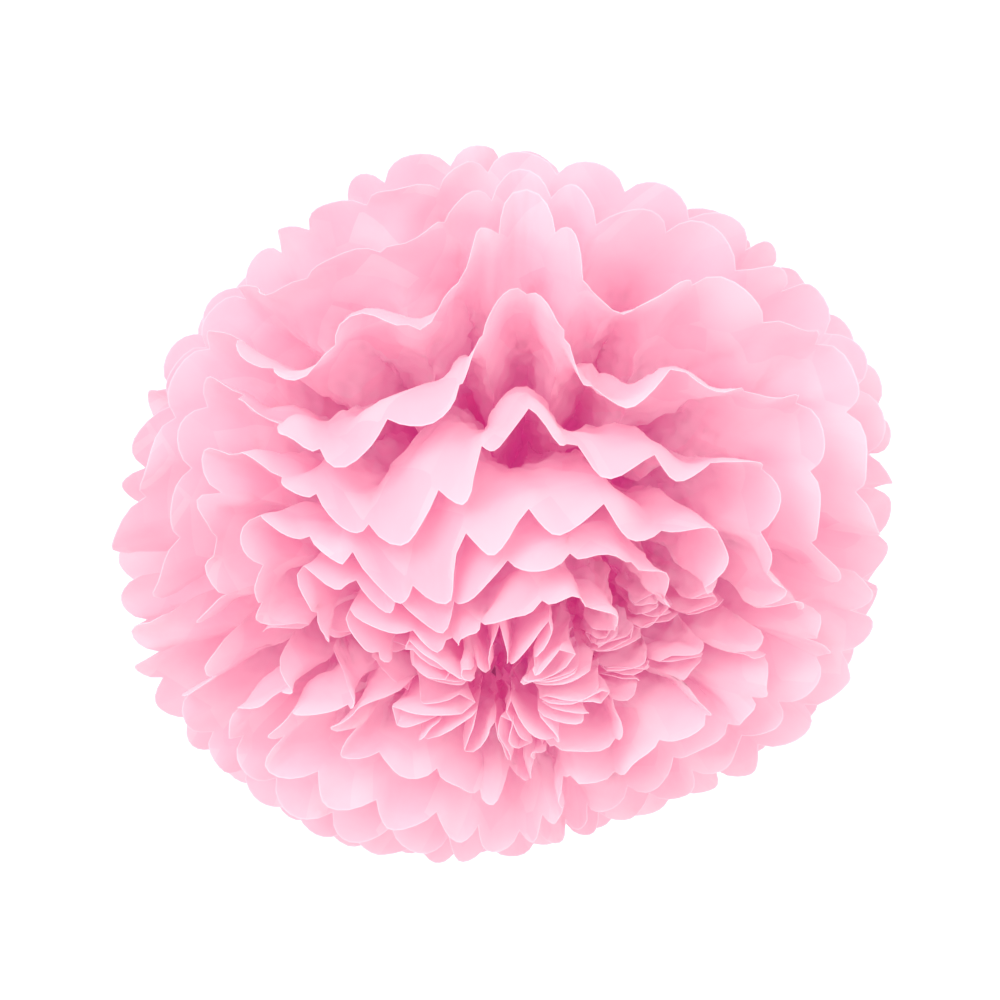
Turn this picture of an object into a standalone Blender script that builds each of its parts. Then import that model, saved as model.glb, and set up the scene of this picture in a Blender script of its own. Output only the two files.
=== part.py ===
# Tissue paper pom pom: a stack of equal sheets folded like a fan, tied round the middle with
# wire, and pulled apart sheet by sheet into a ball.
#
# X is the ball's width, Y runs along the axis that the sheets are pulled towards (the front
# pole is at -Y) and Z is up. The tie is at the origin. Lengths are in metres, angles in degrees.

import math

import bpy
import numpy as np

# Driving sizes: the paper

sheet_count = 13             # sheets in the stack, the first one at the front pole
panel_count = 18             # strips between the folds of one sheet
panel_width = 0.0185         # from one fold to the next
sheet_reach = 0.0945         # from the tie to the tip of a lobe
reach_spread = 0.0012        # how unevenly the ends of the sheets were trimmed
lobe_radius = 0.0102         # the round end of each strip
notch_share = 0.485          # where that arc ends, as a share of the strip's width
paper_thickness = 0.0004     # paper is far thinner; this is what the solids can hold

# Driving sizes: the middle, where the stack is tied

strap_thickness = 0.0010     # one gathered sheet under the wire
strap_gap = 0.0006           # clearance between two gathered sheets
waist_half_width = 0.0060    # the widest gathered sheet, in the middle of the stack
waist_half_height = 0.0028   # from the tie's middle to where the fans start

# Driving sizes: the wire

wire_radius = 0.0004
wire_clearance = 0.0004
tail_length = 0.0110         # the twisted ends
tail_turns = 2
strand_gap = 0.0004          # between the two twisted strands

# Driving sizes: the ball

front_angle = 7.5            # the first sheet's angle from the front pole
back_angle = 172.5           # the last sheet's
crowding = 0.08              # how much closer the sheets stand at the front than at the back
seam_overlap = 1.0           # how far each fan runs past the level plane
depth_share = 0.88           # the ball is a little flatter in depth and in height
height_share = 0.945
opening = 0.0082             # how slowly the sheets swing apart on the way out
fade_length = 0.150          # over which the sheets' places in the stack stop to matter
drift_from = 0.012           # folds of all sheets stand in line up to here,
drift_to = 0.080             # and from here each sheet's stand at places of their own
pleat_room = 0.20            # share of the gap to the next sheet that a pleat may fill
pole_room = 0.40             # share of the way to the pole that a pleat may fill
pole_soft = 9.0              # angles below this shrink softly towards the pole
pleat_start = 0.006          # the pleats grow from here, at the tie,
pleat_full = 0.046           # to their full height here,
relax_from = 0.045           # and go flatter again from here to the rim,
rim_share = 0.28             # where this share of their height is left
ruffle_growth = 1.6          # 1 spreads the ruffles evenly outwards, more keeps them to the rim
lean = 17.0                  # how far the upper front rims hang over the front pole
even_width = 20.0            # sheets this close to a pole, in degrees, are gathered evenly
tuck = 0.26                  # how far gathered stretches of a rim sink in, as a share of reach

row_shares = (0.19, 0.53, 1.0)   # rows of points across the folds, the last at the notches
strap_pitch = strap_thickness + strap_gap
strap_columns = 6
lobe_marks = (0.0, 0.25, 0.75)


def bump(x, centre, width):
    # A smooth hill, 1 high at its centre.
    return np.exp(-((x - centre) / width) ** 2)


def smooth(x):
    # From 0 to 1 with an even start and end.
    x = np.clip(x, 0, 1)
    return x * x * (3 - 2 * x)


def baseAngle(k):
    # Sheets are a little closer together near the front pole.
    u = k / (sheet_count - 1)
    lead = crowding * math.sin(math.pi * (u - 1)) * (1 - 0.3 * u)
    return front_angle + (back_angle - front_angle) * (u + lead)


def neighbourGap(k):
    # The angle to the nearer neighbour, or across the pole to the sheet's own other half.
    own = baseAngle(k)
    near = [abs(own - baseAngle(j)) for j in (k - 1, k + 1) if 0 <= j < sheet_count]
    return min(near + [1.8 * min(own, 180 - own)])


def ruffle(upper, phi, theta):
    # How far the soft waves of a sheet's edge swing from its own angle, at the angle phi
    # round from +X. The waves drift slowly from sheet to sheet, so that sheets nest.
    if upper:
        crest = 86 + 0.55 * (theta - 60)
        spread = np.interp(theta, [15, 30, 45, 60], [30, 25, 19, 16])
        step = 147 - 0.1 * (theta - 45)
        w = (-9.0 * bump(phi, 121, 15) + 8.0 * bump(phi, crest, spread)
             + 14.0 * bump(phi, step, 11) - 3.0 * bump(phi, crest - 26, 9)
             + 3.5 * bump(phi, 38, 12) - 6.0 * bump(phi, 14, 13) - 3.0 * bump(phi, 176, 9))
        w = w * np.interp(theta, [0, 14, 28, 60, 85, 110, 180],
                          [0.25, 0.75, 1.0, 1.0, 0.65, 0.5, 0.3])
        crown = bump(theta, 78, 24) * bump(phi, 90, 44)
        w = w + 8.0 * crown * np.cos(np.radians(13 * (phi - 88)))
        back = np.interp(theta, [0, 30, 80, 110, 150, 180], [0.4, 1.2, 3.0, 7.0, 6.0, 1.0])
        w = w + back * np.cos(np.radians(7 * phi + 1.3 * theta))
        return w + 2.2 * np.cos(np.radians(3.1 * phi - 2.1 * theta)) * np.sin(np.radians(theta))
    w = (6.0 * np.cos(np.radians(5.2 * (phi - 20) + 0.9 * theta))
         + 3.2 * np.cos(np.radians(9.3 * phi - 1.9 * theta))
         + 2.5 * np.cos(np.radians(2.3 * phi + 1.6 * theta)))
    w = w * np.interp(theta, [0, 12, 30, 60, 90, 130, 165, 180],
                      [0.2, 0.6, 1.0, 1.0, 1.0, 1.0, 0.7, 0.2])
    return w - 7.0 * bump(phi, 168, 16) * bump(theta, 35, 25)


def leanOver(upper, phi, theta, rho):
    # The upper front sheets hang over towards the front pole and the lower ones away from it,
    # mostly near the rim.
    out = rho / (1.06 * sheet_reach)
    if upper:
        return -lean * bump(phi, 95, 62) * bump(theta, 48, 34) * (2.0 * out ** 3 - 0.7 * out)
    return 0.35 * lean * bump(phi, 120, 70) * bump(theta, 60, 45) * out ** 3


def rimAngle(k, upper, phi):
    theta = baseAngle(k) + ruffle(upper, phi, baseAngle(k))
    return theta + leanOver(upper, phi, theta, sheet_reach)


def foldAngles(k, upper):
    # Where the folds stand round the ball. Strips keep their width along the waving edge, and
    # the length that a small ring near a pole can't use is gathered: mostly beside the +X seam,
    # and evenly all along for the sheets that stand closest to a pole.
    phi = np.linspace(-seam_overlap, 180 + seam_overlap, 721)
    rim = rimAngle(k, upper, phi)
    steep = np.gradient(rim, phi)
    swing = np.radians(np.clip(rim, 3, 177))
    length = np.sqrt(np.sin(swing) ** 2 + steep ** 2) * np.radians(phi[1] - phi[0]) * sheet_reach
    spare = max(panel_count * panel_width - length.sum(), 0.0)
    gather = bump(phi, 0, 16) + 0.35 * bump(phi, 180, 14) + 0.03
    if not upper:
        gather = gather + 0.3 * bump(phi, 72, 16)
    even = max(bump(baseAngle(k), 0, even_width), bump(baseAngle(k), 180, even_width))
    gather = gather / gather.mean() * (1 - even) + even
    used = np.cumsum(length + spare * gather / gather.sum())
    used = (used - used[0]) / (used[-1] - used[0]) * panel_count
    return phi, used


def tuckShare(k, upper, s):
    # 1 where strips stand packed side by side at the rim, 0 where they lie open along it. The
    # sheets round the poles are packed all along and don't sink in.
    phi_list, used = foldAngles(k, upper)
    rim = rimAngle(k, upper, phi_list)
    swing = np.sin(np.radians(np.clip(rim, 3, 177)))
    along = np.sqrt(swing ** 2 + np.gradient(rim, phi_list) ** 2)
    pitch = np.gradient(phi_list, used) * np.radians(1) * along * sheet_reach / panel_width
    free = 1 - max(bump(baseAngle(k), 0, 14), bump(baseAngle(k), 180, 14))
    return smooth((0.62 - np.interp(s, used, pitch)) / 0.5) * free


def outOfStep(k, upper, phi, drift):
    # How far the folds of a sheet and its neighbours are out of step, in strips: 0 where they
    # nest like a stack of folded cards, 1 where a fold of one faces a hollow of the other.
    here = np.interp(phi, *foldAngles(k, upper))
    worst = np.zeros_like(phi)
    for j in (k - 1, k + 1):
        if 0 <= j < sheet_count:
            worst = np.maximum(worst, np.abs(here - np.interp(phi, *foldAngles(j, upper))))
    return np.clip(worst * drift, 0.25, 1.0)


def relaxed(k, phi, rho):
    # The share of the pleats' height that is kept: all of it inside, little at a free rim,
    # half beside the seams and most of it round the poles.
    theta = baseAngle(k)
    tight = np.maximum(0.5 * np.maximum(bump(phi, 0, 14), bump(phi, 180, 14)),
                       max(bump(theta, 0, 14), bump(theta, 180, 14)))
    left = rim_share + (1 - rim_share) * tight
    return 1 - (1 - left) * smooth((rho - relax_from) / (sheet_reach - relax_from))


def sheetAngles(k, upper, s, rho):
    # The angle round the ball and the angle from the front pole, for each strip place s and
    # each distance rho from the tie.
    theta = baseAngle(k)
    phi_list, used = foldAngles(k, upper)
    # Folds stand evenly at the tie and drift to their own places on the way out.
    drift = smooth((rho - drift_from) / (drift_to - drift_from))
    span = phi_list[-1] - phi_list[0]
    even = phi_list[0] + span * s / panel_count
    phi = even + (np.interp(s, used, phi_list) - even) * drift
    own = np.interp(s, used, np.gradient(phi_list, used))
    per_panel = np.radians(span / panel_count * (1 - drift) + own * drift)
    grow = np.clip((rho / sheet_reach - 0.13) / 0.93, 0, 1) ** ruffle_growth
    wave = ruffle(upper, phi, theta) * grow
    slope = np.interp(phi, phi_list, np.gradient(rimAngle(k, upper, phi_list), phi_list)) * grow
    # At the tie every sheet stands upright, and it swings to its own angle on the way out.
    opened = np.exp(-opening * (1 / np.maximum(rho, 0.001) - 1 / sheet_reach))
    middle = 90 + (theta + wave - 90) * opened
    middle = middle + leanOver(upper, phi, middle, rho)
    # Folds stand alternately forward and back, as far as the strip's own width asks for and
    # the room to the next sheet and to the pole allows.
    across = per_panel * rho * np.sqrt(np.sin(np.radians(middle)) ** 2 + slope ** 2)
    across = np.minimum(across, 0.995 * panel_width)
    need = np.sqrt(panel_width ** 2 - across ** 2) / 2
    gap = np.radians(neighbourGap(k)) * opened * rho
    gap = gap + strap_pitch * np.exp(-rho / fade_length) * np.sin(np.radians(middle))
    pole = pole_room * np.radians(np.minimum(middle, 180 - middle)) * rho
    room = pleat_room * gap / outOfStep(k, upper, phi, drift)
    pleat = np.minimum(np.minimum(need, room), pole) * relaxed(k, phi, rho)
    pleat = pleat * np.clip((rho - pleat_start) / (pleat_full - pleat_start), 0, 1)
    side = np.abs(s % 2 - 1) * 2 - 1
    turned = middle + np.degrees(pleat / np.maximum(rho, pleat_start)) * side
    # Close to a pole the angle shrinks ever more slowly and never passes the pole.
    turned = np.where(turned < pole_soft,
                      pole_soft * np.exp((turned - pole_soft) / pole_soft), turned)
    last = 180 - pole_soft
    turned = np.where(turned > last, 180 - pole_soft * np.exp((last - turned) / pole_soft), turned)
    return phi, turned


def strapHalfWidth(k):
    # The tied middle is oval, so the outer sheets are gathered narrower.
    y = (k - (sheet_count - 1) / 2) * strap_pitch
    deep = (sheet_count / 2 + 0.4) * strap_pitch
    return waist_half_width * math.sqrt(1 - (y / deep) ** 2)


def uneven(p):
    # A hand-opened ball is never quite round: a gentle bend of the whole ball, the same for
    # every sheet, so that it can't bring two sheets together.
    x, y, z = p[..., 0] / 0.1, p[..., 1] / 0.1, p[..., 2] / 0.1
    r = np.sqrt(x * x + y * y + z * z)
    swell = 1 + 0.030 * r * np.sin(5.1 * x + 2.0 * z + 1.0) * np.sin(4.3 * z - 2.2 * y)
    bend = np.stack([0.0030 * np.sin(2.1 * z + 1.3 * y + 0.4),
                     0.0025 * np.sin(2.2 * x - 1.7 * z),
                     0.0025 * np.sin(2.3 * x + 1.1 * y + 0.9)
                     + 0.0035 * np.sin(5.0 * y + 1.5 * x) * np.exp(-(z / 0.4) ** 2)], -1)
    return p * swell[..., None] + bend * (r * r)[..., None]


def sheetPoints(k, upper, s, rho, face):
    # Points of the sheet's front face (face -1) or back face (face 1).
    s, rho = np.broadcast_arrays(np.asarray(s, float), np.asarray(rho, float))
    phi, theta = sheetAngles(k, upper, s, rho)
    t, p = np.radians(theta), np.radians(phi)
    half = strapHalfWidth(k)
    even = half * (1 - 2 * s / panel_count)
    up = 1 if upper else -1
    y = (k - (sheet_count - 1) / 2) * strap_pitch * np.exp(-rho / fade_length)
    centre = np.stack([np.where(rho > 0, half * np.cos(p), even) + rho * np.sin(t) * np.cos(p),
                       y - rho * np.cos(t) * depth_share,
                       up * (waist_half_height + rho * np.sin(t) * np.sin(p) * height_share)], -1)
    # The thickness is laid off towards the next sheet, and more of it where the paper stands
    # steeply between two folds.
    across = np.stack([np.cos(t) * np.cos(p), np.sin(t), up * np.cos(t) * np.sin(p)], -1)
    thick = np.where(rho > 0, paper_thickness, strap_thickness)
    if s.ndim == 1 and len(s) > 2 and rho[0] > 0:
        steep = np.abs(np.diff(t)) / (np.abs(np.diff(p)) * np.sin(t[1:]) + 1e-6)
        steep = np.maximum(np.append(steep, steep[-1]), np.insert(steep, 0, steep[0]))
        thick = thick * np.minimum(np.sqrt(1 + steep ** 2), 1.5)
    return uneven(centre + across * (face * thick / 2)[..., None])


def fanRows(k, upper):
    # Four rows of points across the folds, from the tie to the notches between the lobes.
    # The row at the tie has fewer points.
    reach = sheet_reach + reach_spread * math.sin(2.3 * k + (0.7 if upper else 2.9))
    chord = notch_share * panel_width
    notch = reach - lobe_radius + math.sqrt(lobe_radius ** 2 - chord ** 2)
    folds = np.arange(panel_count + 1.0)
    rows = [(np.linspace(0, panel_count, strap_columns + 1), np.zeros(strap_columns + 1))]
    for share in row_shares:
        rows.append((folds, share * notch * (1 - tuck * tuckShare(k, upper, folds))))
    # The lobes: a short arc of points beyond each strip's two notches.
    marks = np.array([f for f in lobe_marks if f > 0])
    s = (np.arange(panel_count)[:, None] + marks[None, :]).ravel()
    off = (s % 1 - 0.5) * 2 * chord
    tips = reach - lobe_radius + np.sqrt(lobe_radius ** 2 - off ** 2)
    return rows, (s, tips * (1 - tuck * tuckShare(k, upper, s)))


def stitch(a, b):
    # Triangles between two rows with different point counts, a being the sparser one.
    ratio = (len(b) - 1) / (len(a) - 1)
    near = [min(int((j + 0.5) / ratio + 0.5), len(a) - 1) for j in range(len(b) - 1)]
    faces = [(a[near[j]], b[j + 1], b[j]) for j in range(len(b) - 1)]
    for i in range(len(a) - 1):
        first = next(j for j in range(len(near)) if near[j] > i)
        faces.append((a[i], a[i + 1], b[first]))
    return faces


def makeMaterial(name, hex_colour, roughness, metallic):
    material = bpy.data.materials.new(name)
    material.use_nodes = True
    shader = material.node_tree.nodes["Principled BSDF"]
    parts = [int(hex_colour[i:i + 2], 16) / 255 for i in (0, 2, 4)]
    linear = [c / 12.92 if c <= 0.04045 else ((c + 0.055) / 1.055) ** 2.4 for c in parts]
    shader.inputs["Base Color"].default_value = (*linear, 1)
    shader.inputs["Roughness"].default_value = roughness
    shader.inputs["Metallic"].default_value = metallic
    material.diffuse_color = (*linear, 1)
    return material


def makeObject(name, points, faces, material):
    mesh = bpy.data.meshes.new(name)
    mesh.from_pydata([tuple(p) for p in points], [], faces)
    mesh.materials.append(material)
    mesh.update()
    thing = bpy.data.objects.new(name, mesh)
    bpy.context.collection.objects.link(thing)
    return thing


def makeSheet(k):
    # One folded sheet is one closed solid: the upper fan, the gathered strap under the wire
    # and the lower fan.
    points, faces = [], []

    def add(block):
        start = len(points)
        points.extend(block.tolist())
        return list(range(start, len(points)))

    straps = {}
    for upper in (True, False):
        rows, tips = fanRows(k, upper)
        grids = {}
        for face in (-1, 1):
            grids[face] = [add(sheetPoints(k, upper, s, rho, face)) for s, rho in rows]
            grids[face].append(add(sheetPoints(k, upper, tips[0], tips[1], face)))
        straps[upper] = {face: grids[face][0] for face in (-1, 1)}
        per_lobe = len(lobe_marks) - 1
        skin = {}
        for face in (-1, 1):
            g = grids[face]
            tris = stitch(g[0], g[1])
            for low, high in ((g[1], g[2]), (g[2], g[3])):
                for j in range(panel_count):
                    # The diagonal changes side from strip to strip, as the folds do.
                    a, b, c, d = low[j], low[j + 1], high[j + 1], high[j]
                    tris += [(a, b, c), (a, c, d)] if j % 2 else [(a, b, d), (b, c, d)]
            for j in range(panel_count):
                arc = [g[3][j]] + g[4][j * per_lobe:(j + 1) * per_lobe] + [g[3][j + 1]]
                tris += [(arc[0], arc[-1], arc[1])]
                tris += [(arc[i], arc[-1], arc[i + 1]) for i in range(1, len(arc) - 2)]
            skin[face] = tris
        flip = upper
        for face in (-1, 1):
            turn = (face == 1) != flip
            faces += [t[::-1] if turn else t for t in skin[face]]
        # The paper's edge: one straight cut, round the lobes, the other straight cut.
        def border(face):
            g = grids[face]
            line = [g[0][0], g[1][0], g[2][0], g[3][0]]
            for j in range(panel_count):
                line += g[4][j * per_lobe:(j + 1) * per_lobe] + [g[3][j + 1]]
            return line + [g[2][-1], g[1][-1], g[0][-1]]

        front, back = border(-1), border(1)
        for i in range(len(front) - 1):
            quad = (front[i], front[i + 1], back[i + 1], back[i])
            faces.append(quad[::-1] if flip else quad)
    # The strap joins the two fans under the wire.
    top, low = straps[True], straps[False]
    for face in (-1, 1):
        for j in range(strap_columns):
            quad = (low[face][j], low[face][j + 1], top[face][j + 1], top[face][j])
            faces.append(quad[::-1] if face == -1 else quad)
    for j in (0, strap_columns):
        quad = (low[-1][j], low[1][j], top[1][j], top[-1][j])
        faces.append(quad[::-1] if j else quad)
    name = f"tissue_sheet_{k + 1:02d}"
    return makeObject(name, points, faces, makeMaterial(name, "FECBDD", 0.9, 0.0))


def makeTie():
    # The wire goes once round the stack and its ends are twisted together.
    deep = (sheet_count / 2 + 0.4) * strap_pitch
    worst = 1.0
    for k in range(sheet_count):
        y = abs(k - (sheet_count - 1) / 2) * strap_pitch + strap_thickness / 2
        worst = max(worst, math.hypot(strapHalfWidth(k) / waist_half_width, y / deep))
    offset = wire_clearance + wire_radius
    wide, long = waist_half_width * worst + offset, deep * worst + offset
    strand = wire_radius + strand_gap / 2
    start = math.asin(strand / long)
    path = []
    steps_per_turn, loop_steps = 7, 22
    tail_steps = steps_per_turn * tail_turns
    neck = wide * math.cos(start)

    def strandPoint(i, side):
        turn = 2 * math.pi * tail_turns * i / tail_steps
        return (neck + tail_length * i / tail_steps,
                side * strand * math.cos(turn), side * strand * math.sin(turn))

    path += [strandPoint(i, 1) for i in range(tail_steps, 0, -1)]
    for i in range(loop_steps + 1):
        angle = start + (2 * math.pi - 2 * start) * i / loop_steps
        path.append((wide * math.cos(angle), long * math.sin(angle), 0.0))
    path += [strandPoint(i, -1) for i in range(1, tail_steps + 1)]
    path = np.array(path)
    along = np.gradient(path, axis=0)
    along /= np.linalg.norm(along, axis=1, keepdims=True)
    side = np.cross(along, (0.0, 0.0, 1.0))
    side /= np.linalg.norm(side, axis=1, keepdims=True)
    rise = np.cross(side, along)
    sides = 6
    turn = 2 * np.pi * np.arange(sides) / sides
    ring = (path[:, None, :] + wire_radius * (side[:, None, :] * np.cos(turn)[None, :, None]
                                              + rise[:, None, :] * np.sin(turn)[None, :, None]))
    points = ring.reshape(-1, 3)
    faces = []
    for i in range(len(path) - 1):
        for j in range(sides):
            n = (j + 1) % sides
            faces.append((i * sides + j, (i + 1) * sides + j, (i + 1) * sides + n, i * sides + n))
    last = (len(path) - 1) * sides
    faces.append(tuple(range(sides)))
    faces.append(tuple(last + j for j in reversed(range(sides))))
    return makeObject("tie_wire", points.tolist(), faces,
                      makeMaterial("tie_wire", "D9D6D2", 0.35, 1.0))


def main():
    for thing in list(bpy.data.objects):
        bpy.data.objects.remove(thing, do_unlink=True)
    for k in range(sheet_count):
        makeSheet(k)
    makeTie()


main()
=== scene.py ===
# Tissue paper pom pom, seen a little from above on plain white.
# Frame: metres, the tie at the origin, X across the ball, the front pole at -Y, Z up.

import math

import bpy
import numpy as np
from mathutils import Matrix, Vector


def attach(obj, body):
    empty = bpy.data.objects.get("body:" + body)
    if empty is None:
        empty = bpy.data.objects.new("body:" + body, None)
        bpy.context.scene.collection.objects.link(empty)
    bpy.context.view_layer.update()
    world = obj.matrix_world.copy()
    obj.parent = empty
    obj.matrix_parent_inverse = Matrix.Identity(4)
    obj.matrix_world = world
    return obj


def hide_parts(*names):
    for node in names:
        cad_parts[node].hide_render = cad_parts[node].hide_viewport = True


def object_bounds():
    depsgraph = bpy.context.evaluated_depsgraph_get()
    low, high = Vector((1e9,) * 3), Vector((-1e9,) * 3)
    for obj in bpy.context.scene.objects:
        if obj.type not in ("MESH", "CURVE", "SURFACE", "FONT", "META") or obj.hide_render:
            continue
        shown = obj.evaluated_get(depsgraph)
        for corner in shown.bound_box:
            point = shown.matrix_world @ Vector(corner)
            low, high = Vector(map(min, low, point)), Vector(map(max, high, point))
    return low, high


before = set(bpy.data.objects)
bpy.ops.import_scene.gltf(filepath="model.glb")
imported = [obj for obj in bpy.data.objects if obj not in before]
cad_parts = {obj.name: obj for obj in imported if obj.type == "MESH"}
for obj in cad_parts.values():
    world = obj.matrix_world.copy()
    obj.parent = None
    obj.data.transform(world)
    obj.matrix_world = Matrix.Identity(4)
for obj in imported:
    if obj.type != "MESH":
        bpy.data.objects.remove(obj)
cadLow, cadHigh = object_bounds()
print("frame loaded")

# The paper, as it was cut and folded. Lengths in metres, angles in degrees.
paper = {
    "sheets": 13,             # in the stack, the first one at the front pole
    "panels": 18,             # strips between the folds
    "panelWidth": 0.0185,
    "reach": 0.0945,          # from the tie to a lobe's tip
    "reachSpread": 0.0012,    # the cut isn't quite even
    "lobeRadius": 0.0102,
    "notchShare": 0.485,      # where the lobe's arc ends, as a share of the strip's width
    "thickness": 0.00012,
    "columnsPerPanel": 8,     # grid steps across a strip
    "rows": 40,               # and from the tie to a tip
}

# The gathered middle under the wire.
waist = {
    "strapThickness": 0.0010, # one gathered sheet
    "strapGap": 0.0006,       # clearance between two of them
    "halfWidth": 0.0060,      # of the widest, in the middle of the stack
    "halfHeight": 0.0028,     # from the tie's middle to where the fans start
}

# How the sheets were opened into a ball.
ball = {
    "frontAngle": 7.5,
    "backAngle": 172.5,
    "crowding": 0.08,         # sheets stand closer at the front pole
    "seamOverlap": 1.0,       # each fan runs this far past the level plane
    "depthShare": 0.88,       # the ball is a little flatter in depth and in height
    "heightShare": 0.945,
    "opening": 0.0082,        # how slowly the sheets swing apart on the way out
    "fade": 0.150,            # on this way out the places in the stack stop mattering
    "full": 0.100,            # lean and ruffles have their full size this far out
    "driftFrom": 0.012,       # folds stand in line up to here
    "driftTo": 0.080,         # and at their own places from here
    "pleatRoom": 0.40,        # share of the gap to the next sheet that a pleat may fill
    "poleRoom": 0.75,         # share of the way to the pole that it may fill
    "pleatStart": 0.001,      # the pleats grow from here at the tie
    "pleatFull": 0.014,       # to their full depth here
    "relaxFrom": 0.045,       # pleats go flatter from here to the rim
    "rimShare": 0.17,         # share of the pleats' depth left at the rim
    "ruffleGrowth": 1.6,      # ruffles are a thing of the rim, more so for a larger number
    "lean": 17.0,             # how far the upper front rims hang over, in degrees
    "poleSoft": 4.0,          # angles below this shrink softly towards the pole
    "evenWidth": 9.0,         # sheets this close to a pole are gathered evenly
    "tuck": 0.26,             # how far gathered stretches of a rim sink in, as a share of reach
}

# Small unevenness that only the eye needs.
finish = {
    "softFold": 0.975,        # 1 is a knife-sharp fold
    "sharpAngle": 48.0,       # folds tighter than this are creases
    "lobeTilt": 0.0042,       # how far single lobes lean out of line
    "facet": 0.00120,         # height of each set of creases left by handling
    "crumple": 0.0012,        # height of the crumples deep inside
    "poleCrumple": 0.8,       # sheets at the poles are crumpled by this share more
}

strapPitch = waist["strapThickness"] + waist["strapGap"]


def bump(x, centre, width):
    # A smooth hill: e to the minus square of the distance from its centre in widths.
    return np.exp(-((x - centre) / width) ** 2)


def baseAngle(k):
    # Angle from the front pole: even steps, drawn towards the front by a sine.
    u = k / (paper["sheets"] - 1)
    lead = ball["crowding"] * math.sin(math.pi * (u - 1)) * (1 - 0.3 * u)
    return ball["frontAngle"] + (ball["backAngle"] - ball["frontAngle"]) * (u + lead)


def neighbourGap(k):
    # The angle to the nearer neighbour, or across the pole.
    own = baseAngle(k)
    near = [abs(own - baseAngle(j)) for j in (k - 1, k + 1) if 0 <= j < paper["sheets"]]
    return min(near + [1.8 * min(own, 180 - own)])


def smooth(x):
    # From 0 to 1 with an even start and end: 3 x squared less 2 x cubed.
    x = np.clip(x, 0, 1)
    return x * x * (3 - 2 * x)


def nearPole(k, width):
    # 1 for a sheet at a pole, falling off as a hill of that width in degrees.
    return max(bump(baseAngle(k), 0, width), bump(baseAngle(k), 180, width))


def ruffle(upper, phi, theta):
    # The swing of a sheet's edge from its own angle: a few hills and hollows round the ball,
    # drifting slowly from sheet to sheet, plus gentle sines.
    if upper:
        crest = 86 + 0.55 * (theta - 60)
        spread = np.interp(theta, [15, 30, 45, 60], [30, 25, 19, 16])
        step = 147 - 0.1 * (theta - 45)
        w = (-9.0 * bump(phi, 121, 15) + 8.0 * bump(phi, crest, spread)
             + 14.0 * bump(phi, step, 11) - 3.0 * bump(phi, crest - 26, 9)
             + 3.5 * bump(phi, 38, 12) - 6.0 * bump(phi, 14, 13) - 3.0 * bump(phi, 176, 9))
        w = w * np.interp(theta, [0, 14, 28, 60, 85, 110, 180],
                          [0.25, 0.75, 1.0, 1.0, 0.65, 0.5, 0.3])
        crown = bump(theta, 78, 24) * bump(phi, 90, 44)
        w = w + 8.0 * crown * np.cos(np.radians(13 * (phi - 88)))
        back = np.interp(theta, [0, 30, 80, 110, 150, 180], [0.4, 1.2, 3.0, 7.0, 6.0, 1.0])
        w = w + back * np.cos(np.radians(7 * phi + 1.3 * theta))
        return w + 2.2 * np.cos(np.radians(3.1 * phi - 2.1 * theta)) * np.sin(np.radians(theta))
    w = (6.0 * np.cos(np.radians(5.2 * (phi - 20) + 0.9 * theta))
         + 3.2 * np.cos(np.radians(9.3 * phi - 1.9 * theta))
         + 2.5 * np.cos(np.radians(2.3 * phi + 1.6 * theta)))
    w = w * np.interp(theta, [0, 12, 30, 60, 90, 130, 165, 180],
                      [0.2, 0.6, 1.0, 1.0, 1.0, 1.0, 0.7, 0.2])
    return w - 7.0 * bump(phi, 168, 16) * bump(theta, 35, 25)


def leanOver(upper, phi, theta, out):
    # The upper front sheets hang over towards the pole, the lower ones away from it, by a
    # cubic of the distance from the tie.
    if upper:
        place = bump(phi, 95, 62) * bump(theta, 48, 34)
        return -ball["lean"] * place * (2.0 * out ** 3 - 0.7 * out)
    return 6.0 * bump(phi, 120, 70) * bump(theta, 60, 45) * out ** 3


def rimAngle(k, upper, phi):
    # The angle from the front pole at the rim: the sheet's own, its ruffle and its lean.
    theta = baseAngle(k) + ruffle(upper, phi, baseAngle(k))
    return theta + leanOver(upper, phi, theta, paper["reach"] / ball["full"])


def foldAngles(k, upper):
    # Strips keep their width along the waving edge, and the spare length of a small ring is
    # gathered: beside the seams, or evenly for the sheets closest to a pole. Returns angles
    # round the ball and the strips used up by then.
    phi = np.linspace(-ball["seamOverlap"], 180 + ball["seamOverlap"], 721)
    rim = rimAngle(k, upper, phi)
    steep = np.gradient(rim, phi)
    swing = np.radians(np.clip(rim, 3, 177))
    step = np.radians(phi[1] - phi[0]) * paper["reach"]
    length = np.sqrt(np.sin(swing) ** 2 + steep ** 2) * step
    spare = max(paper["panels"] * paper["panelWidth"] - length.sum(), 0.0)
    gather = bump(phi, 0, 16) + 0.35 * bump(phi, 180, 14) + 0.03
    if not upper:
        gather = gather + 0.3 * bump(phi, 72, 16)
    even = nearPole(k, ball["evenWidth"])
    gather = gather / gather.mean() * (1 - even) + even
    used = np.cumsum(length + spare * gather / gather.sum())
    return phi, (used - used[0]) / (used[-1] - used[0]) * paper["panels"]


def outOfStep(k, upper, phi, drift):
    # 0 where the folds of neighbouring sheets nest, 1 where a fold faces a hollow.
    here = np.interp(phi, *foldAngles(k, upper))
    worst = np.zeros_like(phi)
    for j in (k - 1, k + 1):
        if 0 <= j < paper["sheets"]:
            worst = np.maximum(worst, np.abs(here - np.interp(phi, *foldAngles(j, upper))))
    return np.clip(worst * drift, 0.04, 1.0)


def relaxed(k, phi, rho):
    # Share of the pleats' depth that is kept: all of it inside, little at a free rim, most of
    # it beside the seams and round the poles.
    seams = 0.5 * np.maximum(bump(phi, 0, 14), bump(phi, 180, 14))
    left = ball["rimShare"] + (1 - ball["rimShare"]) * np.maximum(seams, nearPole(k, 14))
    out = (rho - ball["relaxFrom"]) / (paper["reach"] - ball["relaxFrom"])
    return 1 - (1 - left) * smooth(out)


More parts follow.
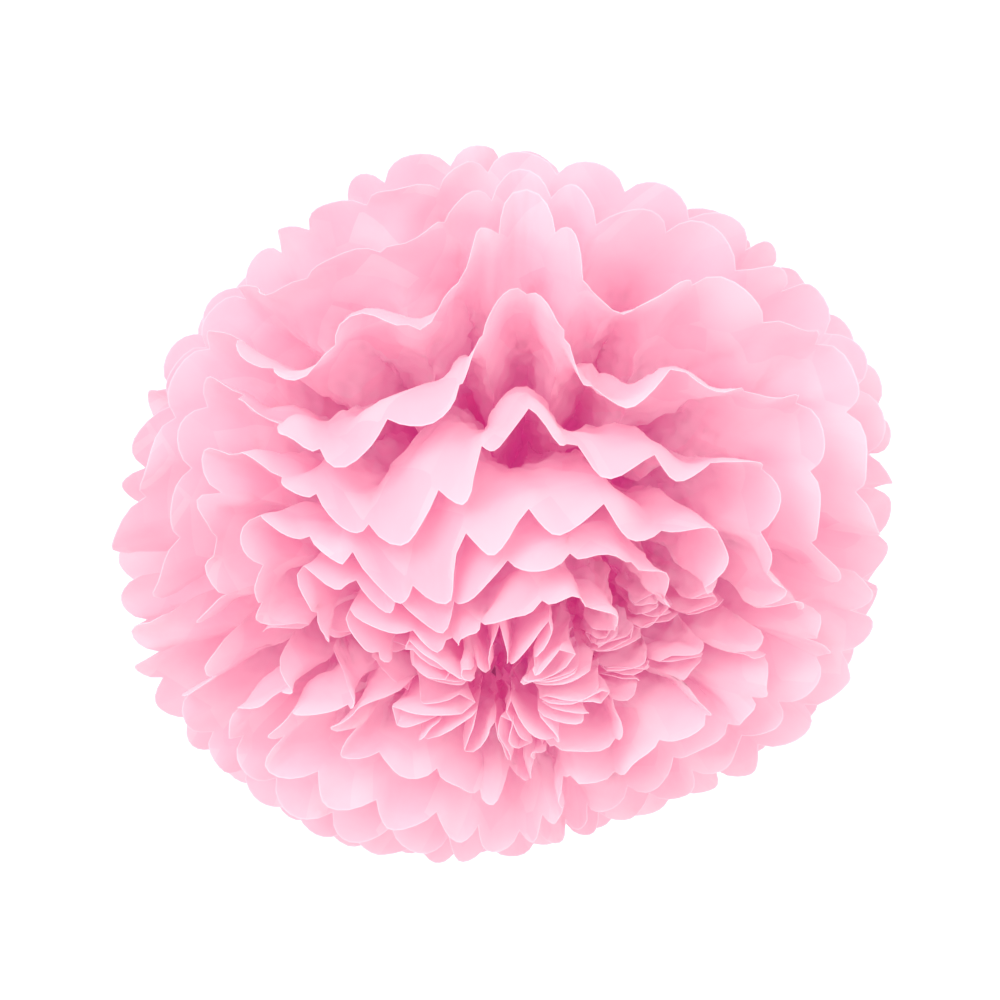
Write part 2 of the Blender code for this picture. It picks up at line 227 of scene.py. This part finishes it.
def sheetAngles(k, upper, s, rho):
    # Angles round the ball and from the front pole, for strip place s and distance rho from
    # the tie: the sheet's own angle, its ruffle, then the pleats, then the lean.
    theta = baseAngle(k)
    phiList, used = foldAngles(k, upper)
    drift = smooth((rho - ball["driftFrom"]) / (ball["driftTo"] - ball["driftFrom"]))
    span = phiList[-1] - phiList[0]
    even = phiList[0] + span * s / paper["panels"]
    phi = even + (np.interp(s, used, phiList) - even) * drift
    own = np.interp(s, used, np.gradient(phiList, used))
    perPanel = np.radians(span / paper["panels"] * (1 - drift) + own * drift)
    out = rho / ball["full"]
    grow = np.clip((out - 0.12) / 0.88, 0, 1) ** ball["ruffleGrowth"]
    wave = ruffle(upper, phi, theta) * grow
    slope = np.interp(phi, phiList, np.gradient(rimAngle(k, upper, phiList), phiList)) * grow
    opened = np.exp(-ball["opening"] * (1 / np.maximum(rho, 0.001) - 1 / paper["reach"]))
    middle = 90 + (theta + wave - 90) * opened
    middle = middle + leanOver(upper, phi, middle, out)
    width = paper["panelWidth"]
    across = perPanel * (rho + strapHalfWidth(k) * (1 - drift)) * np.sqrt(
        np.sin(np.radians(middle)) ** 2 + slope ** 2)
    across = np.minimum(across, 0.995 * width)
    need = np.sqrt(width ** 2 - across ** 2) / 2
    gap = np.radians(neighbourGap(k)) * opened * rho
    gap = gap + strapPitch * np.exp(-rho / ball["fade"]) * np.sin(np.radians(middle))
    pole = ball["poleRoom"] * np.radians(np.minimum(middle, 180 - middle)) * rho
    room = ball["pleatRoom"] * gap / outOfStep(k, upper, phi, drift)
    pleat = np.minimum(np.minimum(need, room), pole) * relaxed(k, phi, rho)
    grown = smooth((rho - ball["pleatStart"]) / (ball["pleatFull"] - ball["pleatStart"]))
    # A triangle wave with its corners rounded, as an arc sine of a sine just below 1.
    soft = finish["softFold"]
    side = np.arcsin(soft * np.cos(np.pi * s)) / math.asin(soft)
    turned = middle + np.degrees(pleat * grown / np.maximum(rho, 0.006)) * side
    soft = ball["poleSoft"]
    turned = np.where(turned < soft, soft * np.exp((turned - soft) / soft), turned)
    last = 180 - soft
    return phi, np.where(turned > last, 180 - soft * np.exp((last - turned) / soft), turned)


def strapHalfWidth(k):
    # The tied middle is oval: a circle's formula over the sheet's place in the stack.
    y = (k - (paper["sheets"] - 1) / 2) * strapPitch
    deep = (paper["sheets"] / 2 + 0.4) * strapPitch
    return waist["halfWidth"] * math.sqrt(1 - (y / deep) ** 2)


def uneven(p):
    # A gentle bend of the whole ball by low sines of the place, which is in tenths of a metre.
    x, y, z = p[..., 0] / 0.1, p[..., 1] / 0.1, p[..., 2] / 0.1
    r = np.sqrt(x * x + y * y + z * z)
    swell = 1 + 0.030 * r * np.sin(5.1 * x + 2.0 * z + 1.0) * np.sin(4.3 * z - 2.2 * y)
    bend = np.stack([0.0030 * np.sin(2.1 * z + 1.3 * y + 0.4),
                     0.0025 * np.sin(2.2 * x - 1.7 * z),
                     0.0025 * np.sin(2.3 * x + 1.1 * y + 0.9)
                     + 0.0035 * np.sin(5.0 * y + 1.5 * x) * np.exp(-(z / 0.4) ** 2)], -1)
    return p * swell[..., None] + bend * (r * r)[..., None]


def tuckShare(k, upper, s):
    # 1 where the strips stand packed side by side, 0 where they lie open along the rim.
    phiList, used = foldAngles(k, upper)
    rim = rimAngle(k, upper, phiList)
    steep = np.gradient(rim, phiList)
    swing = np.sin(np.radians(np.clip(rim, 3, 177)))
    arc = np.gradient(phiList, used) * np.radians(1) * np.sqrt(swing ** 2 + steep ** 2)
    pitch = np.interp(s, used, arc * paper["reach"] / paper["panelWidth"])
    return smooth((0.62 - pitch) / 0.5) * (1 - nearPole(k, 14))


def fanGrid(k, upper):
    # One fan as a grid: rows run outwards from the tie, columns across the folds.
    # Each strip ends in an arc of a circle, so the rows stretch to the lobe's own length.
    panels = paper["panels"]
    s = np.linspace(0, panels, panels * paper["columnsPerPanel"] + 1)
    reach = paper["reach"] + paper["reachSpread"] * math.sin(2.3 * k + (0.7 if upper else 2.9))
    off = (np.mod(s, 1) - 0.5) * 2 * paper["notchShare"] * paper["panelWidth"]
    radius = paper["lobeRadius"]
    tip = reach - radius + np.sqrt(radius ** 2 - off ** 2)
    tip = tip * (1 - ball["tuck"] * tuckShare(k, upper, s))
    share = np.linspace(0, 1, paper["rows"] + 1)[1:, None]
    rho = share * tip[None, :]
    ss = np.broadcast_to(s, rho.shape)
    phi, theta = sheetAngles(k, upper, ss, rho)
    # Single lobes lean a little, each its own way, more towards the tip.
    panel = np.minimum(np.floor(ss), panels - 1)
    tilt = np.sin(12.9898 * (panel + 3 * k) + 78.2 * upper) * np.sin(np.pi * np.mod(ss, 1)) ** 2
    theta = theta + np.degrees(finish["lobeTilt"] * tilt * share ** 4 / paper["reach"])
    t, p = np.radians(theta), np.radians(phi)
    half = strapHalfWidth(k)
    up = 1 if upper else -1
    y = (k - (paper["sheets"] - 1) / 2) * strapPitch * np.exp(-rho / ball["fade"])
    height = waist["halfHeight"] + rho * np.sin(t) * np.sin(p) * ball["heightShare"]
    points = np.stack([(half + rho * np.sin(t)) * np.cos(p),
                       y - rho * np.cos(t) * ball["depthShare"],
                       up * height], -1)
    return s, rho, points, tip[None, :] - rho


def sheetSurface(k):
    # The whole sheet as one grid: the lower fan from its rim to the tie, the strap's middle
    # line, and the upper fan out to its rim. The flat place of each point comes with it.
    s, rhoUp, up, edgeUp = fanGrid(k, True)
    s, rhoLow, low, edgeLow = fanGrid(k, False)
    half = strapHalfWidth(k)
    line = np.stack([half * (1 - 2 * s / paper["panels"]),
                     np.full_like(s, (k - (paper["sheets"] - 1) / 2) * strapPitch),
                     np.zeros_like(s)], -1)
    edge = waist["halfHeight"]
    strap = np.stack([line + (0, 0, z) for z in (-edge, 0, edge)])
    grid = uneven(np.concatenate([low[::-1], strap, up]))
    flatY = np.concatenate([-rhoLow[::-1], np.zeros((3, len(s))), rhoUp])
    flatX = np.broadcast_to(s * paper["panelWidth"], flatY.shape)
    toEdge = np.concatenate([edgeLow[::-1], np.ones((3, len(s))), edgeUp])
    return grid, flatX, flatY, toEdge


def surfaceNormals(grid):
    # Cross product of the two grid directions, made one long.
    across = np.gradient(grid, axis=1)
    along = np.gradient(grid, axis=0)
    n = np.cross(across, along)
    return n / np.maximum(np.linalg.norm(n, axis=-1, keepdims=True), 1e-12)


def creases(x):
    # A triangle wave, 1 high with a period of 1: straight flanks that meet in creases.
    return 4 * np.abs(np.mod(x, 1) - 0.5) - 1


def crinkled(k, grid, flatX, flatY):
    # Handling breaks the paper into small flat facets: triangle waves crossed at odd angles
    # over the flat sheet, bent by slow sines and moved along the normal. Deep inside, where
    # the paper was bunched for tying, two crossed sines add soft crumples.
    x, y = flatX * 1000, flatY * 1000
    bentX = x + 5.0 * np.sin(0.083 * y + 1.3 * k) + 2.0 * np.sin(0.19 * y + 0.11 * x)
    bentY = y + 5.0 * np.sin(0.071 * x + 2.1 * k)
    # Each set: its direction, mm between creases, share of the height, shift from sheet to sheet.
    sets = [((0.93, 0.37), 34, 1.0, 0.31), ((-0.45, 0.89), 29, 1.0, 0.57),
            ((0.71, 0.70), 21, 0.7, 0.83), ((0.64, -0.77), 17, 0.6, 0.19)]
    facets = sum(part * creases((a * bentX + b * bentY) / apart + shift * k)
                 for (a, b), apart, part, shift in sets)
    patch = 0.55 + 0.45 * np.sin(0.045 * x + 1.9 * k) * np.sin(0.051 * y + 0.7 * k)
    far = np.abs(flatY)
    strength = finish["facet"] * patch * np.clip((far - 0.014) / 0.030, 0, 1)
    bunched = np.sin(0.60 * x + 0.25 * y + 0.4) * np.sin(0.62 * y - 0.15 * x + 1.0)
    deep = finish["crumple"] * (1 + finish["poleCrumple"] * nearPole(k, 38))
    deep = deep * smooth((far - 0.012) / 0.010) * smooth((0.082 - far) / 0.030)
    return grid + surfaceNormals(grid) * (facets * strength + bunched * deep)[..., None]


def shellMesh(name, grid, flatX, flatY, toEdge, thickness):
    # A closed thin shell: the grid moved half the thickness each way along its normals, with
    # the border stitched shut. Written with whole arrays.
    rows, cols, _ = grid.shape
    n = surfaceNormals(grid) * thickness / 2
    verts = np.concatenate([(grid + n).reshape(-1, 3), (grid - n).reshape(-1, 3)])
    i = np.arange(rows * cols).reshape(rows, cols)
    a, b, c, d = i[:-1, :-1], i[:-1, 1:], i[1:, 1:], i[1:, :-1]
    front = np.stack([a, b, c, d], -1).reshape(-1, 4)
    back = front[:, ::-1] + rows * cols
    rim = np.concatenate([i[0, :-1], i[:-1, -1], i[-1, :0:-1], i[:0:-1, 0]])
    nxt = np.roll(rim, -1)
    border = np.stack([nxt, rim, rim + rows * cols, nxt + rows * cols], -1)
    faces = np.concatenate([front, back, border])
    mesh = bpy.data.meshes.new(name)
    mesh.vertices.add(len(verts))
    mesh.vertices.foreach_set("co", verts.astype(np.float32).ravel())
    mesh.loops.add(faces.size)
    mesh.loops.foreach_set("vertex_index", faces.astype(np.int32).ravel())
    mesh.polygons.add(len(faces))
    mesh.polygons.foreach_set("loop_start", np.arange(0, faces.size, 4, dtype=np.int32))
    mesh.update(calc_edges=True)
    rounded = np.ones(len(faces), dtype=bool)
    rounded[len(front) + len(back):] = False
    mesh.polygons.foreach_set("use_smooth", rounded)
    flat = np.stack([flatX.ravel(), flatY.ravel()], -1)
    flat = np.concatenate([flat, flat])[faces.ravel()]
    layer = mesh.uv_layers.new(name="flat")
    layer.data.foreach_set("uv", (flat * 10).astype(np.float32).ravel())   # 1 unit is 100 mm
    away = mesh.attributes.new("toEdge", "FLOAT", "POINT")   # mm to the cut edge
    away.data.foreach_set("value", np.tile(toEdge.ravel() * 1000, 2).astype(np.float32))
    mesh.validate()
    mesh.set_sharp_from_angle(angle=math.radians(finish["sharpAngle"]))
    mesh.update()
    thing = bpy.data.objects.new(name, mesh)
    bpy.context.collection.objects.link(thing)
    return thing


def linear(hexColour):
    # From sRGB hex to the linear numbers that a shader takes.
    parts = [int(hexColour[i:i + 2], 16) / 255 for i in (0, 2, 4)]
    return (*[c / 12.92 if c <= 0.04045 else ((c + 0.055) / 1.055) ** 2.4 for c in parts], 1)


def addNode(tree, kind, place, settings={}, inputs={}, links={}):
    # Adds a node, sets its properties and sockets, and links sockets from (node, output) pairs.
    # A socket goes by its name, or by its number where two share a name.
    node = tree.nodes.new(kind)
    node.location = place
    for name, value in settings.items():
        setattr(node, name, value)
    for name, value in inputs.items():
        node.inputs[name].default_value = value
    for name, (source, output) in links.items():
        tree.links.new(source.outputs[output], node.inputs[name])
    return node


def tissuePaper():
    # Dyed tissue paper: matt, thin enough to glow where light falls through it, so hollows turn
    # a strong pink while lit petals stay pale, helped by a faint painted glow all over. Fibres
    # give a faint cloudiness, handling leaves facets whose shading is also painted as a slightly
    # different tone per cell, and a painted highlight shows as a pale line along the cut edge.
    look = {
        "petal": "FFE0E8",
        "thin": "FFF8F8",
        "through": 0.50,         # share of the light that goes through
        "cloud": 14.0,           # mm across, the cloudiness of the fibre
        "facet": 16.0,           # mm across, cells of painted shade standing for the facets left by handling
        "wrinkle": 6.0,          # mm between fine wrinkles
        "wrinkleHeight": 0.0006,
        "wrinkleShare": 0.18,    # how strongly they show
        "cut": "FFFAFC",         # painted highlight: the paper turns paler at the cut edge
        "cutShare": 0.75,
        "edge": 0.5,             # mm
        "paintedGlow": 0.075,            # painted glow: the paper gives off a little light of its own, which keeps deep folds rosy
        "paintedGlowColour": (1.0, 0.07, 0.46, 1.0),
    }
    material = bpy.data.materials.new("tissuePaper")
    material.use_nodes = True
    tree = material.node_tree
    tree.nodes.clear()
    place = addNode(tree, "ShaderNodeUVMap", (-1100, 0), {"uv_map": "flat"})
    cloud = addNode(tree, "ShaderNodeTexNoise", (-850, 150), {},
                    {"Scale": 100 / look["cloud"], "Detail": 1.0}, {"Vector": (place, "UV")})
    # Painted facet shading: each Voronoi cell takes a slightly different tone, in place of the
    # shade that facets at different angles get.
    facet = addNode(tree, "ShaderNodeTexVoronoi", (-850, 650), {},
                    {"Scale": 100 / look["facet"]}, {"Vector": (place, "UV")})
    # Sockets 6 and 7 of a colour mix are its two colours, and its output 2 is the result.
    cloudAndFacetShade = addNode(tree, "ShaderNodeMix", (-650, 150), {"data_type": "RGBA"}, {"Factor": 0.5},
                   {6: (cloud, "Fac"), 7: (facet, "Color")})
    grey = addNode(tree, "ShaderNodeRGBToBW", (-600, 50), {}, {}, {"Color": (cloudAndFacetShade, 2)})
    tint = addNode(tree, "ShaderNodeMix", (-550, 150), {"data_type": "RGBA"},
                   {6: linear(look["petal"]), 7: linear(look["thin"])}, {"Factor": (grey, "Val")})
    away = addNode(tree, "ShaderNodeAttribute", (-850, 400), {"attribute_name": "toEdge"})
    # Painted highlight: within half a millimetre of the cut edge the colour turns paler.
    cut = addNode(tree, "ShaderNodeMapRange", (-650, 400), {"interpolation_type": "SMOOTHSTEP"},
                  {"From Min": 0.0, "From Max": look["edge"],
                   "To Min": look["cutShare"], "To Max": 0.0}, {"Value": (away, "Fac")})
    edgeHighlighted = addNode(tree, "ShaderNodeMix", (-400, 250), {"data_type": "RGBA"},
                     {7: linear(look["cut"])}, {"Factor": (cut, "Result"), 6: (tint, 2)})
    wrinkle = addNode(tree, "ShaderNodeTexNoise", (-850, -200), {},
                      {"Scale": 100 / look["wrinkle"], "Detail": 0.0}, {"Vector": (place, "UV")})
    relief = addNode(tree, "ShaderNodeBump", (-550, -200), {},
                     {"Strength": look["wrinkleShare"], "Distance": look["wrinkleHeight"]},
                     {"Height": (wrinkle, "Fac")})
    facing = addNode(tree, "ShaderNodeBsdfDiffuse", (-250, 150), {}, {"Roughness": 0.3},
                     {"Color": (edgeHighlighted, 2), "Normal": (relief, "Normal")})
    glow = addNode(tree, "ShaderNodeBsdfTranslucent", (-250, -50), {}, {},
                   {"Color": (edgeHighlighted, 2), "Normal": (relief, "Normal")})
    both = addNode(tree, "ShaderNodeMixShader", (0, 50), {}, {"Fac": look["through"]},
                   {1: (facing, 0), 2: (glow, 0)})
    # Painted glow: the paper gives off a little pink light of its own, so deep folds stay rosy.
    paintedGlow = addNode(tree, "ShaderNodeEmission", (0, -120), {},
                  {"Color": look["paintedGlowColour"], "Strength": look["paintedGlow"]})
    whole = addNode(tree, "ShaderNodeAddShader", (220, 0), {}, {}, {0: (both, 0), 1: (paintedGlow, 0)})
    addNode(tree, "ShaderNodeOutputMaterial", (420, 0), {}, {}, {"Surface": (whole, 0)})
    return material


def softWire():
    # Thin galvanised binding wire: grey, dull, with a faint drawn grain.
    look = {
        "zinc": "D9D6D2",
        "roughness": 0.35,
        "grain": 0.4,            # mm across
        "grainHeight": 0.0001,
        "grainShare": 0.2,
    }
    material = bpy.data.materials.new("galvanisedWire")
    material.use_nodes = True
    tree = material.node_tree
    shader = tree.nodes["Principled BSDF"]
    shader.inputs["Base Color"].default_value = linear(look["zinc"])
    shader.inputs["Metallic"].default_value = 1.0
    shader.inputs["Roughness"].default_value = look["roughness"]
    place = addNode(tree, "ShaderNodeTexCoord", (-700, -200))
    grain = addNode(tree, "ShaderNodeTexNoise", (-450, -200), {},
                    {"Scale": 1000 / look["grain"]}, {"Vector": (place, "Object")})
    relief = addNode(tree, "ShaderNodeBump", (-220, -200), {},
                     {"Strength": look["grainShare"], "Distance": look["grainHeight"]},
                     {"Height": (grain, "Fac")})
    tree.links.new(relief.outputs["Normal"], shader.inputs["Normal"])
    return material


def makeSheets(material):
    for k in range(paper["sheets"]):
        node = f"tissue_sheet_{k + 1:02d}"
        grid, flatX, flatY, toEdge = sheetSurface(k)
        grid = crinkled(k, grid, flatX, flatY)
        sheet = shellMesh(f"tissueSheet{k + 1:02d}", grid, flatX, flatY, toEdge,
                          paper["thickness"])
        sheet.data.materials.append(material)
        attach(sheet, "root")
        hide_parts(node)


def seenByCamera(tree):
    # 1 for rays from the camera and for reflections, 0 for the light that falls on things.
    path = addNode(tree, "ShaderNodeLightPath", (-600, 200))
    return addNode(tree, "ShaderNodeMath", (-350, 200), {"operation": "MAXIMUM"}, {},
                   {0: (path, "Is Camera Ray"), 1: (path, "Is Glossy Ray")})


def makeStage(low):
    # A white floor far below, as under a hanging ornament, and a white world. Both look pure
    # white to the camera and in reflections; as light the world is plain.
    stage = {
        "drop": 0.45,             # from the ball's lowest point to the floor
        "size": 12.0,
        "floor": "F2F2F2",
        "floorGlow": 0.35,        # lifts the floor to white in the picture, shadow and all
        "worldLight": 1.0,
    }
    white = (1, 1, 1, 1)
    mesh = bpy.data.meshes.new("floor")
    h, z = stage["size"] / 2, low - stage["drop"]
    mesh.from_pydata([(-h, -h, z), (h, -h, z), (h, h, z), (-h, h, z)], [], [(0, 1, 2, 3)])
    floor = bpy.data.objects.new("floor", mesh)
    bpy.context.collection.objects.link(floor)
    material = bpy.data.materials.new("whitePaperSweep")
    material.use_nodes = True
    tree = material.node_tree
    tree.nodes.clear()
    seen = seenByCamera(tree)
    glow = addNode(tree, "ShaderNodeEmission", (-350, 0), {}, {"Strength": stage["floorGlow"]})
    matt = addNode(tree, "ShaderNodeBsdfDiffuse", (-350, -150), {},
                   {"Color": linear(stage["floor"])})
    both = addNode(tree, "ShaderNodeAddShader", (-120, -80), {}, {}, {0: (glow, 0), 1: (matt, 0)})
    mix = addNode(tree, "ShaderNodeMixShader", (80, 0), {}, {},
                  {"Fac": (seen, 0), 1: (matt, 0), 2: (both, 0)})
    addNode(tree, "ShaderNodeOutputMaterial", (280, 0), {}, {}, {"Surface": (mix, 0)})
    mesh.materials.append(material)

    world = bpy.data.worlds.new("studio")
    bpy.context.scene.world = world
    world.use_nodes = True
    world.cycles.sampling_method = "NONE"      # it is the same white all round
    tree = world.node_tree
    tree.nodes.clear()
    seen = seenByCamera(tree)
    plain = addNode(tree, "ShaderNodeBackground", (-350, -50), {},
                    {"Color": white, "Strength": stage["worldLight"]})
    shown = addNode(tree, "ShaderNodeBackground", (-350, -180), {},
                    {"Color": white, "Strength": 1.0})
    mix = addNode(tree, "ShaderNodeMixShader", (-100, 0), {}, {},
                  {"Fac": (seen, 0), 1: (plain, 0), 2: (shown, 0)})
    addNode(tree, "ShaderNodeOutputWorld", (120, 0), {}, {}, {"Surface": (mix, 0)})
    print("stage made")


def makeLights():
    # One large soft lamp to the upper left in front; a faint one from the right.
    lamps = {
        "key": {"at": (-0.55, -0.75, 1.10), "size": 0.9, "power": 7.0},   # metres and watts
        "fill": {"at": (0.90, -0.60, 0.30), "size": 1.2, "power": 1.5},
    }
    for name, lamp in lamps.items():
        data = bpy.data.lights.new(name, "AREA")
        data.size, data.energy = lamp["size"], lamp["power"]
        thing = bpy.data.objects.new(name, data)
        thing.location = lamp["at"]
        thing.rotation_euler = (-Vector(lamp["at"])).to_track_quat("-Z", "Y").to_euler()
        bpy.context.collection.objects.link(thing)
    print("lights made")


def makeCamera():
    # In front, a little above, aimed at the ball's middle.
    view = {
        "elevation": 33.0,
        "distance": 1.3,
        "ballWidth": 0.200,       # metres that fill
        "ballPixels": 778,        # this many of the picture's
        "picture": 1000,          # pixels across
        "middle": (501, 511),     # the ball's middle in the picture
        "sensor": 36.0,
    }
    data = bpy.data.cameras.new("camera")
    camera = bpy.data.objects.new("camera", data)
    bpy.context.collection.objects.link(camera)
    angle = math.radians(view["elevation"])
    back = Vector((0, -math.cos(angle), math.sin(angle)))
    camera.location = back * view["distance"]
    camera.rotation_euler = (math.pi / 2 - angle, 0, 0)
    data.sensor_width = view["sensor"]
    across = view["ballWidth"] * view["picture"] / view["ballPixels"]
    data.lens = view["sensor"] * view["distance"] / across
    data.shift_x = 0.5 - view["middle"][0] / view["picture"]
    data.shift_y = view["middle"][1] / view["picture"] - 0.5
    bpy.context.scene.camera = camera
    print("camera made")


makeCamera()
paperMaterial = tissuePaper()
makeSheets(paperMaterial)
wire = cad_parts["tie_wire"]
for slot in wire.material_slots:
    slot.material = softWire()
makeStage(cadLow.z)
makeLights()

scene = bpy.context.scene
scene.view_settings.view_transform = "Standard"
scene.cycles.max_bounces = 7           # light goes many times between the petals
scene.cycles.diffuse_bounces = 5
scene.cycles.transmission_bounces = 7
